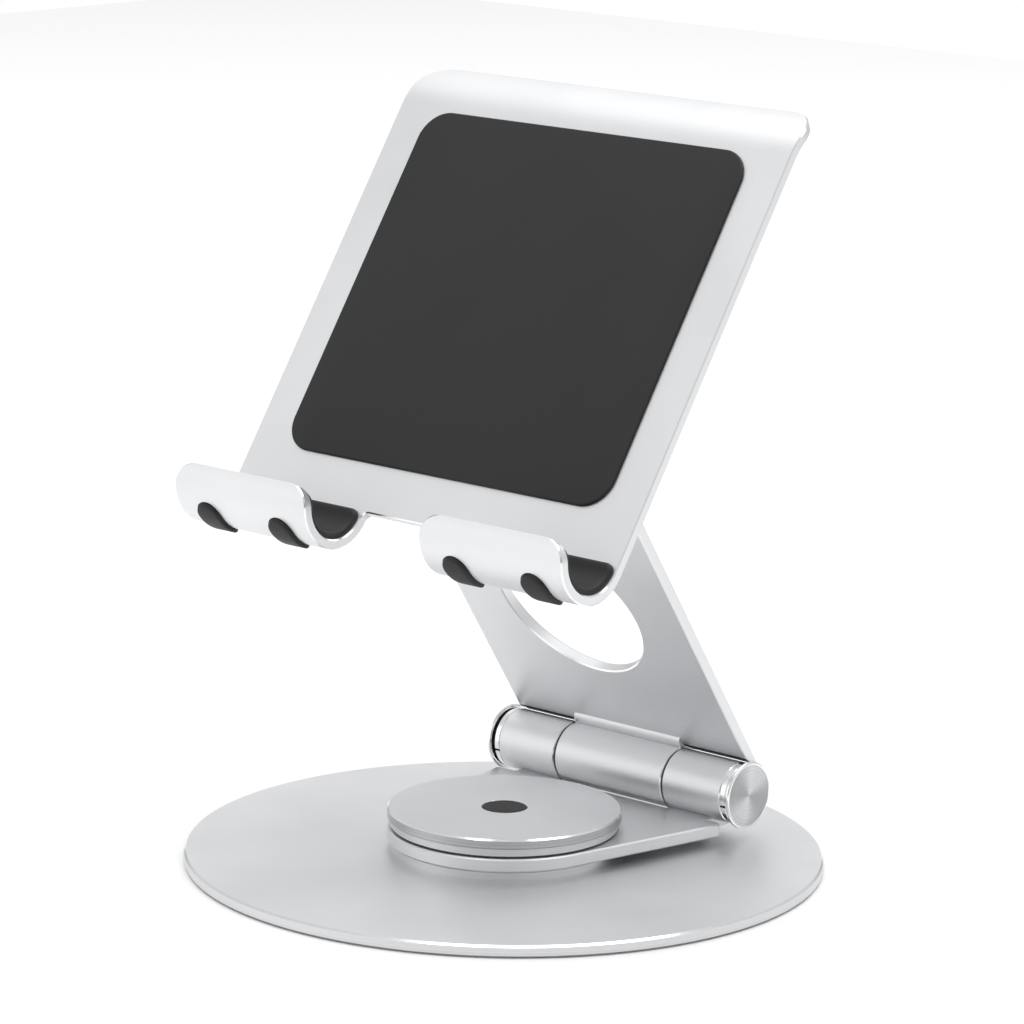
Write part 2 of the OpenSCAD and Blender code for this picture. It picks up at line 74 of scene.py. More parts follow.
def add_node(
    tree: bpy.types.NodeTree, kind: str, feeds: dict[str | int, Feed] | None = None, operation: str = ""
) -> bpy.types.Node:
    """Add a node to a tree, and link or set its inputs.

    Args:
        tree: the shader or geometry node tree.
        kind: Blender's name for the node.
        feeds: input name or number to the socket that feeds it, or to a constant.
        operation: the node's operation, where it has one.

    Returns:
        The new node.
    """
    node = tree.nodes.new(kind)
    if operation:
        node.operation = operation
    for key, feed in (feeds or {}).items():
        if isinstance(feed, bpy.types.NodeSocket):
            tree.links.new(feed, node.inputs[key])
        else:
            node.inputs[key].default_value = feed
    return node


def maths(tree: bpy.types.NodeTree, operation: str, *feeds: Feed) -> bpy.types.NodeSocket:
    """Add a maths node and return its result."""
    return add_node(tree, "ShaderNodeMath", dict(enumerate(feeds)), operation).outputs[0]


def vector_maths(tree: bpy.types.NodeTree, operation: str, *feeds: Feed) -> bpy.types.NodeSocket:
    """Add a vector maths node and return its result, a vector or a number."""
    node = add_node(tree, "ShaderNodeVectorMath", dict(enumerate(feeds)), operation)
    return node.outputs["Value" if operation in ("LENGTH", "DOT_PRODUCT") else "Vector"]


def spread(
    tree: bpy.types.NodeTree, value: bpy.types.NodeSocket, source: Point2, target: Point2
) -> bpy.types.NodeSocket:
    """Map one range of values to another.

    Args:
        tree: the node tree.
        value: the socket to map.
        source: lowest and highest value that come in.
        target: what they become.

    Returns:
        The mapped value.
    """
    ends = dict(zip(("From Min", "From Max", "To Min", "To Max"), (*source, *target)))
    node = add_node(tree, "ShaderNodeMapRange", {"Value": value, **ends})
    return node.outputs["Result"]


def new_group(name: str, numbers: dict[str, float], vectors: Sequence[str] = ()) -> bpy.types.NodeTree:
    """Make an empty shader group that will give a normal and a value.

    Args:
        name: the group's name.
        numbers: number inputs and their default values.
        vectors: vector inputs.

    Returns:
        The group with its input and output nodes in place.
    """
    tree = bpy.data.node_groups.new(name, "ShaderNodeTree")
    for key in vectors:
        tree.interface.new_socket(key, in_out="INPUT", socket_type="NodeSocketVector")
    for key, value in numbers.items():
        socket = tree.interface.new_socket(key, in_out="INPUT", socket_type="NodeSocketFloat")
        socket.default_value = value
    tree.interface.new_socket("Normal", in_out="OUTPUT", socket_type="NodeSocketVector")
    tree.interface.new_socket("Value", in_out="OUTPUT", socket_type="NodeSocketFloat")
    tree.nodes.new("NodeGroupInput").name = "in"
    tree.nodes.new("NodeGroupOutput").name = "out"
    return tree


def end_group(
    tree: bpy.types.NodeTree, height: bpy.types.NodeSocket, depth: float, value: bpy.types.NodeSocket
) -> None:
    """Close a group: turn a height into its normal, and give out its value.

    Args:
        tree: the group.
        height: the relief.
        depth: how deep the relief is, in metres.
        value: the value that the surface varies with.
    """
    strength = tree.nodes["in"].outputs["Strength"]
    bump = add_node(tree, "ShaderNodeBump", {"Height": height, "Strength": strength, "Distance": depth})
    tree.links.new(bump.outputs["Normal"], tree.nodes["out"].inputs["Normal"])
    tree.links.new(value, tree.nodes["out"].inputs["Value"])


def grain_group() -> bpy.types.NodeTree:
    """Fine blasted or moulded grain over slow clouds.

    Returns:
        The node group, with inputs Scale, Strength and Cloud.
    """
    tree = new_group("surface_grain", {"Scale": 4000.0, "Strength": 0.1, "Cloud": 30.0})
    given = tree.nodes["in"].outputs
    place = add_node(tree, "ShaderNodeTexCoord").outputs["Object"]
    noises = [
        add_node(tree, "ShaderNodeTexNoise", {"Vector": place, "Scale": given[key], "Detail": detail})
        for key, detail in (("Scale", 2.0), ("Cloud", 3.0))
    ]
    fine, cloud = (noise.outputs["Fac"] for noise in noises)
    value = maths(tree, "MULTIPLY_ADD", fine, GRAIN_SHARE, maths(tree, "MULTIPLY", cloud, 1 - GRAIN_SHARE))
    end_group(tree, fine, GRAIN_DEPTH, value)
    return tree


def turning_group() -> bpy.types.NodeTree:
    """Lathe marks around an axis: rings on the faces and lines around the rims.

    Returns:
        The node group, with inputs Centre, Axis, Lines and Strength.
    """
    tree = new_group("turning_marks", {"Lines": 4000.0, "Strength": 0.2}, ("Centre", "Axis"))
    given = tree.nodes["in"].outputs
    place = add_node(tree, "ShaderNodeTexCoord").outputs["Object"]
    offset = vector_maths(tree, "SUBTRACT", place, given["Centre"])
    radius = vector_maths(tree, "LENGTH", vector_maths(tree, "CROSS_PRODUCT", offset, given["Axis"]))
    along = vector_maths(tree, "DOT_PRODUCT", offset, given["Axis"])
    lines = add_node(tree, "ShaderNodeTexNoise", {"Scale": given["Lines"], "Detail": 1.0})
    lines.noise_dimensions = "1D"
    tree.links.new(maths(tree, "ADD", radius, along), lines.inputs["W"])
    end_group(tree, lines.outputs["Fac"], TURNING_DEPTH, lines.outputs["Fac"])
    return tree


# ---------------------------------------------------------------- finishes


@dataclass(frozen=True)
class Surface:
    """One finish: shader constants, and how far its colour and roughness vary."""

    name: str
    dark: tuple[float, float, float]
    light: tuple[float, float, float]
    rough_low: float
    rough_high: float
    metallic: float
    grain_scale: float
    grain_strength: float
    cloud: float = 30.0
    specular: float = 0.5

    def settings(self) -> dict[str, Feed]:
        """Return the inputs of the shared group that makes this finish."""
        return {"Scale": self.grain_scale, "Strength": self.grain_strength, "Cloud": self.cloud}

    def paint_reflection_fans(self, tree: bpy.types.NodeTree, colour: bpy.types.NodeSocket) -> bpy.types.NodeSocket:
        """Return the colour as it is; spun faces paint dark fans of reflection into it."""
        return colour

    def build(self, group: bpy.types.NodeTree) -> bpy.types.Material:
        """Make the material on Blender's own shader.

        Args:
            group: the shared group of this kind of finish.

        Returns:
            The new material.
        """
        material = bpy.data.materials.new(self.name)
        material.use_nodes = True
        tree = material.node_tree
        shader = tree.nodes["Principled BSDF"]
        shader.inputs["Metallic"].default_value = self.metallic
        shader.inputs["Specular IOR Level"].default_value = self.specular
        source = tree.nodes.new("ShaderNodeGroup")
        source.node_tree = group
        for key, value in self.settings().items():
            source.inputs[key].default_value = value
        ramp = add_node(tree, "ShaderNodeValToRGB", {"Fac": source.outputs["Value"]})
        for end, position, colour in zip(ramp.color_ramp.elements, NOISE_RANGE, (self.dark, self.light)):
            end.position = position
            end.color = (*colour, 1.0)
        rough = spread(tree, source.outputs["Value"], NOISE_RANGE, (self.rough_low, self.rough_high))
        tree.links.new(self.paint_reflection_fans(tree, ramp.outputs["Color"]), shader.inputs["Base Color"])
        tree.links.new(rough, shader.inputs["Roughness"])
        tree.links.new(source.outputs["Normal"], shader.inputs["Normal"])
        return material


@dataclass(frozen=True)
class TurnedSurface(Surface):
    """A finish with lathe marks around an axis; on a spun face, dark fans of reflection are painted into
    its colour.
    """

    centre: tuple[float, float, float] = (0.0, 0.0, 0.0)
    axis: tuple[float, float, float] = (1.0, 0.0, 0.0)
    lines: float = 3500.0
    anisotropic: float = 0.0
    # Depth, middle angle and edge of the dark fans of reflection painted into the colour
    painted_fan_depth: float = 0.0
    painted_fan_angle: float = 62.0
    painted_fan_edge: float = 0.9

    def settings(self) -> dict[str, Feed]:
        """Return the inputs of the turning group."""
        centre = [value * MM for value in self.centre]
        return {"Centre": centre, "Axis": self.axis, "Lines": self.lines, "Strength": self.grain_strength}

    def paint_reflection_fans(self, tree: bpy.types.NodeTree, colour: bpy.types.NodeSocket) -> bpy.types.NodeSocket:
        """Paint two opposite dark fans of reflection into the colour of a face that looks along X, and
        stretch its shine around X.

        Args:
            tree: the material's node tree.
            colour: the plain colour.

        Returns:
            The colour with its painted fans of reflection.
        """
        if self.painted_fan_depth <= 0:
            return colour
        shader = tree.nodes["Principled BSDF"]
        around = tree.nodes.new("ShaderNodeTangent")
        around.direction_type = "RADIAL"
        around.axis = "X"
        shader.inputs["Anisotropic"].default_value = self.anisotropic
        tree.links.new(around.outputs["Tangent"], shader.inputs["Tangent"])
        place = add_node(tree, "ShaderNodeTexCoord").outputs["Object"]
        offset = vector_maths(tree, "SUBTRACT", place, [value * MM for value in self.centre])
        split = add_node(tree, "ShaderNodeSeparateXYZ", {0: offset})
        angle = maths(tree, "ARCTAN2", split.outputs["Z"], split.outputs["Y"])
        # Colour darkened in two opposite fans around X: a painted reflection
        turned = maths(tree, "MULTIPLY", maths(tree, "SUBTRACT", angle, math.radians(self.painted_fan_angle)), 2.0)
        wave = maths(tree, "COSINE", turned)
        painted_fan_shade = spread(tree, wave, (-self.painted_fan_edge, self.painted_fan_edge), (1.0 - self.painted_fan_depth, 1.0))
        mix = tree.nodes.new("ShaderNodeMix")
        mix.data_type = "RGBA"
        mix.blend_type = "MULTIPLY"
        mix.inputs["Factor"].default_value = 1.0
        ends = [socket for socket in mix.inputs if socket.type == "RGBA"]
        tree.links.new(colour, ends[0])
        tree.links.new(painted_fan_shade, ends[1])
        return next(socket for socket in mix.outputs if socket.type == "RGBA")


# Name, dark and light end of the colour, roughness, metal, grain size and strength
BLASTED = Surface(
    "satin_aluminium", (0.75, 0.756, 0.768), (0.81, 0.816, 0.828), 0.4, 0.48, 0.92, 5200.0, 0.25
)
BRIGHT = Surface("bright_cut_edge", (0.86, 0.87, 0.88), (0.93, 0.935, 0.94), 0.14, 0.2, 1.0, 900.0, 0.05)
# Near-black colour painted as shade into the strut's hollow under the lower knuckle, where the recess lies
# in shadow
HOLLOW_PAINTED_SHADE = Surface("painted_shade_hollow", (0.03, 0.03, 0.031), (0.05, 0.05, 0.052), 0.6, 0.7, 0.2, 3000.0, 0.1)
SILICONE = Surface(
    "black_silicone",
    (0.012, 0.0122, 0.0128),
    (0.017, 0.0172, 0.018),
    0.52,
    0.62,
    0.0,
    2600.0,
    0.2,
    specular=0.35,
)
STEEL = Surface("plain_steel", (0.34, 0.34, 0.35), (0.46, 0.46, 0.47), 0.25, 0.38, 1.0, 1500.0, 0.15)
NYLON = Surface("smooth_nylon", (0.05, 0.05, 0.052), (0.075, 0.075, 0.078), 0.4, 0.5, 0.0, 1800.0, 0.15)
UPRIGHT = (0.0, 0.0, 1.0)
TURNED_RIM = TurnedSurface(
    "turned_rim", (0.64, 0.645, 0.655), (0.74, 0.745, 0.755), 0.3, 0.42, 0.95, 0.0, 0.2, axis=UPRIGHT
)
# A darker copy of the turned rim for the cap's side wall: its dark colour is a painted reflection of dark
# surroundings
TURNED_CAP_RIM_PAINTED_DARK = TurnedSurface(
    "turned_cap_rim_painted_dark", (0.46, 0.464, 0.472), (0.58, 0.585, 0.594), 0.16, 0.26, 1.0, 0.0, 0.2, axis=UPRIGHT
)


@dataclass
class Workshop:
    """Holds the shared groups and materials, and makes plain objects from meshes."""

    materials: dict[str, bpy.types.Material] = field(default_factory=dict)
    grain: bpy.types.NodeTree = field(default_factory=grain_group)
    turning: bpy.types.NodeTree = field(default_factory=turning_group)

    def material(self, surface: Surface) -> bpy.types.Material:
        """Return the material of a finish, made once."""
        if surface.name not in self.materials:
            group = self.turning if isinstance(surface, TurnedSurface) else self.grain
            self.materials[surface.name] = surface.build(group)
        return self.materials[surface.name]

    def dress(self, node: str, surface: Surface) -> None:
        """Give a CAD node's object a finish."""
        obj = bpy.data.objects[node]
        obj.data.materials.clear()
        obj.data.materials.append(self.material(surface))

    def place(
        self,
        shape: "Shape",
        name: str,
        surfaces: Sequence[Surface],
        body: str,
        nodes: Sequence[str],
        slot: str,
        at: Matrix | None = None,
    ) -> bpy.types.Object:
        """Turn a shape into a piece that stands for CAD nodes.

        Args:
            shape: the mesh being made, in millimetres.
            name: the new object's name.
            surfaces: the finishes, by material index.
            body: the body that it rides on.
            nodes: the CAD nodes that it stands for.
            slot: the record's material slot, not used.
            at: where the shape's own frame lies, in millimetres.

        Returns:
            The new object.
        """
        mesh = shape.finish(name, at or Matrix())
        for surface in surfaces:
            mesh.materials.append(self.material(surface))
        obj = bpy.data.objects.new(name, mesh)
        bpy.context.scene.collection.objects.link(obj)
        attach(obj, body)
        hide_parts(*nodes)
        LOG.info("%s: %d faces on %s", name, len(mesh.polygons), body)
        return obj


# ---------------------------------------------------------------- outlines


def arc(centre: Point2, radius: float, start: float, end: float, steps: int) -> Loop:
    """Sample a circular arc.

    Args:
        centre: the arc's centre.
        radius: its radius.
        start: first angle in degrees.
        end: last angle in degrees.
        steps: number of pieces.

    Returns:
        The points, both ends included.
    """
    angles = (math.radians(start + (end - start) * i / steps) for i in range(steps + 1))
    return [(centre[0] + radius * math.cos(a), centre[1] + radius * math.sin(a)) for a in angles]


def rounded_box(
    x0: float, x1: float, y0: float, y1: float, radii: Sequence[float], steps: int = 12
) -> Loop:
    """Outline of a rectangle with round corners, counter-clockwise.

    Args:
        x0: left side.
        x1: right side.
        y0: lower side.
        y1: upper side.
        radii: corner radii from the lower left, counter-clockwise.
        steps: pieces in a corner.

    Returns:
        The outline.
    """
    corners = [(x0, y0, 1, 1, 180), (x1, y0, -1, 1, 270), (x1, y1, -1, -1, 0), (x0, y1, 1, -1, 90)]
    loop: Loop = []
    for (x, y, sx, sy, start), r in zip(corners, radii):
        if r <= 0:
            loop.append((x, y))
        else:
            loop += arc((x + sx * r, y + sy * r), r, start, start + 90, steps)
    return loop


def stadium(centre: Point2, width: float, length: float) -> Loop:
    """Outline of a slot with round ends that runs along Y, counter-clockwise."""
    r, half = width / 2, (length - width) / 2
    x, y = centre
    return arc((x, y + half), r, 0, 180, 12) + arc((x, y - half), r, 180, 360, 12)


def shrink(loop: Loop, inset: float) -> Loop:
    """Move an outline inwards.

    Args:
        loop: a counter-clockwise outline.
        inset: the distance, negative to grow.

    Returns:
        The outline with mitred corners.
    """
    if inset == 0:
        return list(loop)
    result: Loop = []
    count = len(loop)
    for i, (x, y) in enumerate(loop):
        px, py = loop[i - 1]
        nx, ny = loop[(i + 1) % count]
        a = Vector((x - px, y - py)).normalized()
        b = Vector((nx - x, ny - y)).normalized()
        na, nb = Vector((-a.y, a.x)), Vector((-b.y, b.x))
        both = na + nb
        scale = 2 * inset / max(both.length_squared, 0.4)
        result.append((x + both.x * scale, y + both.y * scale))
    return result


def cut_edge(low: float, high: float, size: float) -> list[Level]:
    """Levels of a plate between two heights with chamfered edges."""
    return [(size, low), (0.0, low + size), (0.0, high - size), (size, high)]


def round_edge(low: float, high: float, low_r: float, high_r: float, steps: int = 4) -> list[Level]:
    """Levels of a plate between two heights with round edges.

    Args:
        low: lower face.
        high: upper face.
        low_r: radius of the lower edge.
        high_r: radius of the upper edge.
        steps: pieces in each rounding.

    Returns:
        Pairs of inset and height.
    """
    quarter = [math.pi / 2 * i / steps for i in range(steps + 1)]
    lower = [(low_r * (1 - math.sin(a)), low + low_r * (1 - math.cos(a))) for a in quarter]
    upper = [(high_r * (1 - math.cos(a)), high - high_r * (1 - math.sin(a))) for a in quarter]
    return (lower if low_r > 0 else [(0.0, low)]) + (upper if high_r > 0 else [(0.0, high)])


def rounding(depth: float, radius: float) -> float:
    """Return how far a quarter-round edge stands back at a depth under its face."""
    return 0.0 if depth >= radius else radius - math.sqrt(radius**2 - (radius - depth) ** 2)


def box_loop(half: float, low: float, high: float) -> Loop:
    """Return a plain rectangle that is symmetrical about Y."""
    return [(-half, low), (half, low), (half, high), (-half, high)]


# ---------------------------------------------------------------- meshes


@dataclass
class Shape:
    """A mesh in the making, in millimetres."""

    bm: bmesh.types.BMesh = field(default_factory=bmesh.new)

    def slab(
        self,
        outer: Loop,
        levels: Sequence[Level],
        holes: Sequence[Loop] = (),
        bands: dict[int, int] | None = None,
    ) -> None:
        """Add a plate with shaped edges, its holes edged the same way.

        Args:
            outer: counter-clockwise outline.
            levels: pairs of inset and height, from the lower to the upper face.
            holes: counter-clockwise outlines of holes.
            bands: material index of a band between two levels, where it isn't 0.
        """
        bands = bands or {}
        ends: list[list[bmesh.types.BMEdge]] = [[], []]
        for loop, sign in [(outer, 1.0)] + [(hole, -1.0) for hole in holes]:
            rings = []
            for inset, height in levels:
                edge = shrink(loop, inset * sign)
                rings.append([self.bm.verts.new((x, y, height)) for x, y in edge])
            count = len(loop)
            for k in range(len(rings) - 1):
                for i in range(count):
                    j = (i + 1) % count
                    quad = [rings[k][i], rings[k][j], rings[k + 1][j], rings[k + 1][i]]
                    made = self.bm.faces.new(quad if sign > 0 else quad[::-1])
                    made.material_index = bands.get(k, 0)
            for side, ring in ((0, rings[0]), (1, rings[-1])):
                ends[side] += self.border(ring)
        self.cover(ends[0], -1.0)
        self.cover(ends[1], 1.0)

    def border(self, ring: Sequence[bmesh.types.BMVert]) -> list[bmesh.types.BMEdge]:
        """Return the edges that join a closed ring of points."""
        return [self.bm.edges.get((ring[i], ring[(i + 1) % len(ring)])) for i in range(len(ring))]

    def cover(self, edges: Sequence[bmesh.types.BMEdge], up: float) -> None:
        """Fill a flat face between its border edges.

        Args:
            edges: the outer border and those of the holes.
            up: 1.0 for a face that looks along Z, -1.0 for one that looks against it.
        """
        filled = bmesh.ops.triangle_fill(self.bm, edges=edges, use_beauty=True)
        for made in filled["geom"]:
            if isinstance(made, bmesh.types.BMFace):
                made.normal_update()
                if made.normal.z * up < 0:
                    made.normal_flip()

    def lathe(
        self,
        profile: Sequence[tuple[float, float]],
        bands: dict[int, int] | None = None,
        steps: int = 128,
        sweep: tuple[float, float] = (0.0, 360.0),
    ) -> None:
        """Add a body of revolution about Z.

        Args:
            profile: closed profile of (radius, height), counter-clockwise with the axis at the left.
            bands: material index of the surface that starts at a profile point, where it isn't 0.
            steps: pieces of a full turn.
            sweep: first and last angle in degrees.
        """
        bands = bands or {}
        full = sweep[1] - sweep[0] >= 360.0
        turn = sweep[1] - sweep[0]
        pieces = max(3, round(steps * turn / 360.0))
        angles = [math.radians(sweep[0] + turn * i / pieces) for i in range(pieces + (not full))]
        columns: list[list[bmesh.types.BMVert]] = []
        poles: dict[int, bmesh.types.BMVert] = {}
        for i, (r, z) in enumerate(profile):
            if r < 1e-6:
                poles[i] = self.bm.verts.new((0, 0, z))
        for angle in angles:
            c, s = math.cos(angle), math.sin(angle)
            columns.append(
                [
                    poles[i] if i in poles else self.bm.verts.new((r * c, r * s, z))
                    for i, (r, z) in enumerate(profile)
                ]
            )
        count = len(profile)
        for c in range(len(columns) if full else len(columns) - 1):
            here, there = columns[c], columns[(c + 1) % len(columns)]
            for i in range(count):
                j = (i + 1) % count
                if i in poles and j in poles:
                    continue
                corners = []
                for vert in (here[i], there[i], there[j], here[j]):
                    if vert not in corners:
                        corners.append(vert)
                made = self.bm.faces.new(corners)
                made.material_index = bands.get(i, 0)
        if not full:
            for column, flip in ((columns[0], False), (columns[-1], True)):
                self.bm.faces.new(column[::-1] if flip else column)

    def absorb(self, other: "Shape", at: Matrix) -> None:
        """Add another shape, moved by a matrix in millimetres."""
        mesh = bpy.data.meshes.new("part")
        other.bm.transform(at)
        if at.determinant() < 0:
            bmesh.ops.reverse_faces(other.bm, faces=other.bm.faces[:])
        other.bm.to_mesh(mesh)
        other.bm.free()
        self.bm.from_mesh(mesh)
        bpy.data.meshes.remove(mesh)

    def slice(self, lengths: Iterable[float]) -> None:
        """Cut the mesh across Y at some lengths, so that it can be bent between them."""
        for length in lengths:
            parts = self.bm.verts[:] + self.bm.edges[:] + self.bm.faces[:]
            point = (0.0, length, 0.0)
            bmesh.ops.bisect_plane(self.bm, geom=parts, dist=1e-5, plane_co=point, plane_no=(0.0, 1.0, 0.0))

    def bend(self, rule: Callable[[Vector], Vector]) -> None:
        """Move every point by a rule."""
        for vert in self.bm.verts:
            vert.co = rule(vert.co)

    def finish(self, name: str, at: Matrix) -> bpy.types.Mesh:
        """Write the shape as a mesh in metres.

        Args:
            name: the mesh's name.
            at: where the shape's own frame lies, in millimetres.

        Returns:
            The smooth-shaded mesh.
        """
        self.bm.transform(Matrix.Scale(MM, 4) @ at)
        mesh = bpy.data.meshes.new(name)
        for face in self.bm.faces:
            face.smooth = True
        self.bm.to_mesh(mesh)
        self.bm.free()
        mesh.set_sharp_from_angle(angle=math.radians(SHARP))
        return mesh


def disc_profile(
    radius: float, low: float, high: float, low_cut: float, high_cut: float, bore: float = 0.0
) -> Loop:
    """Profile of a disc with chamfered rims and an optional bore."""
    return [
        (bore, low),
        (radius - low_cut, low),
        (radius, low + low_cut),
        (radius, high - high_cut),
        (radius - high_cut, high),
        (bore, high),
    ]


TURN_TO_X = Matrix(((0, 0, 1, 0), (1, 0, 0, 0), (0, 1, 0, 0), (0, 0, 0, 1)))
MIRROR_X = Matrix.Scale(-1, 4, (1, 0, 0))


def side_matrix(side: Side) -> Matrix:
    """Return the mirror for the left half, or nothing for the right half."""
    return MIRROR_X.copy() if side is Side.LEFT else Matrix()


# ---------------------------------------------------------------- screws


@dataclass(frozen=True)
class ScrewGrid:
    """Countersunk screws in a grid, all pointing the same way, in millimetres."""

    name: str
    pitch_x: float
    pitch_y: float
    length: float
    columns: int = 2
    rows: int = 2
    head_radius: float = 2.8
    head_height: float = 1.3
    shank_radius: float = 1.5
    socket_radius: float = 1.15
    socket_depth: float = 0.9

    def tree(self, material: bpy.types.Material) -> bpy.types.NodeTree:
        """Make the node tree, with a named input for every size.

        Args:
            material: the screws' material.

        Returns:
            The geometry node group.
        """
        tree = bpy.data.node_groups.new(self.name, "GeometryNodeTree")
        for key in ("Columns", "Rows"):
            tree.interface.new_socket(key, in_out="INPUT", socket_type="NodeSocketInt")
        for key in self.sizes():
            tree.interface.new_socket(key, in_out="INPUT", socket_type="NodeSocketFloat")
        tree.interface.new_socket("Geometry", in_out="OUTPUT", socket_type="NodeSocketGeometry")
        given = add_node(tree, "NodeGroupInput").outputs
        head = add_node(
            tree,
            "GeometryNodeMeshCone",
            {
                "Vertices": 64,
                "Radius Bottom": given["Head Radius"],
                "Radius Top": given["Shank Radius"],
                "Depth": given["Head Height"],
            },
        )
        thin = maths(tree, "MULTIPLY", given["Shank Radius"], 0.98)
        below = maths(tree, "SUBTRACT", given["Length"], given["Socket Depth"])
        shank = add_node(tree, "GeometryNodeMeshCylinder", {"Vertices": 48, "Radius": thin, "Depth": below})
        middle = maths(tree, "ADD", given["Length"], given["Socket Depth"])
        shift = add_node(tree, "ShaderNodeCombineXYZ", {"Z": maths(tree, "MULTIPLY", middle, 0.5)})
        lift = add_node(
            tree,
            "GeometryNodeTransform",
            {"Geometry": shank.outputs["Mesh"], "Translation": shift.outputs[0]},
        )
        whole = add_node(tree, "GeometryNodeMeshBoolean", {"Mesh 2": head.outputs["Mesh"]}, "UNION")
        tree.links.new(lift.outputs["Geometry"], whole.inputs["Mesh 2"])
        deep = maths(tree, "MULTIPLY", given["Socket Depth"], 2.0)
        key_hole = add_node(
            tree,
            "GeometryNodeMeshCylinder",
            {"Vertices": 6, "Radius": given["Socket Radius"], "Depth": deep},
        )
        parts = {"Mesh 1": whole.outputs["Mesh"], "Mesh 2": key_hole.outputs["Mesh"]}
        cut = add_node(tree, "GeometryNodeMeshBoolean", parts, "DIFFERENCE")
        size = {}
        for letter, count in (("X", "Columns"), ("Y", "Rows")):
            gaps = maths(tree, "SUBTRACT", given[count], 1.0)
            size[f"Size {letter}"] = maths(tree, "MULTIPLY", given[f"Pitch {letter}"], gaps)
            size[f"Vertices {letter}"] = given[count]
        grid = add_node(tree, "GeometryNodeMeshGrid", size)
        feeds = {"Points": grid.outputs["Mesh"], "Instance": cut.outputs["Mesh"]}
        placed = add_node(tree, "GeometryNodeInstanceOnPoints", feeds)
        real = add_node(tree, "GeometryNodeRealizeInstances", {"Geometry": placed.outputs["Instances"]})
        paint = add_node(
            tree, "GeometryNodeSetMaterial", {"Geometry": real.outputs["Geometry"], "Material": material}
        )
        add_node(tree, "NodeGroupOutput", {"Geometry": paint.outputs["Geometry"]})
        return tree

    def sizes(self) -> dict[str, float]:
        """Return the tree's length inputs and their values in millimetres."""
        return {
            "Pitch X": self.pitch_x,
            "Pitch Y": self.pitch_y,
            "Head Radius": self.head_radius,
            "Head Height": self.head_height,
            "Shank Radius": self.shank_radius,
            "Length": self.length,
            "Socket Radius": self.socket_radius,
            "Socket Depth": self.socket_depth,
        }

    def build(self, shop: Workshop, body: str, node: str, at: Matrix) -> None:
        """Make the screws as one plain mesh in place of a CAD node.

        Args:
            shop: the workshop.
            body: the body that they ride on.
            node: the CAD node that they stand for.
            at: where the middle of the heads lies, in millimetres, screws pointing along Z.
        """
        tree = self.tree(shop.material(STEEL))
        values: dict[str, float | int] = {"Columns": self.columns, "Rows": self.rows}
        values |= {key: size * MM for key, size in self.sizes().items()}
        source = bpy.data.objects.new(f"{self.name}_source", bpy.data.meshes.new(f"{self.name}_source"))
        bpy.context.scene.collection.objects.link(source)
        modifier = source.modifiers.new("screws", "NODES")
        modifier.node_group = tree
        for item in tree.interface.items_tree:
            if item.in_out == "INPUT":
                modifier[item.identifier] = values[item.name]
        evaluated = source.evaluated_get(bpy.context.evaluated_depsgraph_get())
        mesh = bpy.data.meshes.new_from_object(evaluated)
        source.modifiers.remove(modifier)
        bpy.data.objects.remove(source)
        mesh.transform(Matrix.Translation(at.translation * MM) @ at.to_3x3().to_4x4())
        mesh.set_sharp_from_angle(angle=math.radians(30))
        obj = bpy.data.objects.new(self.name, mesh)
        bpy.context.scene.collection.objects.link(obj)
        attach(obj, body)
        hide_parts(node)
        LOG.info("%s: %d faces on %s", self.name, len(mesh.polygons), body)


# ---------------------------------------------------------------- base


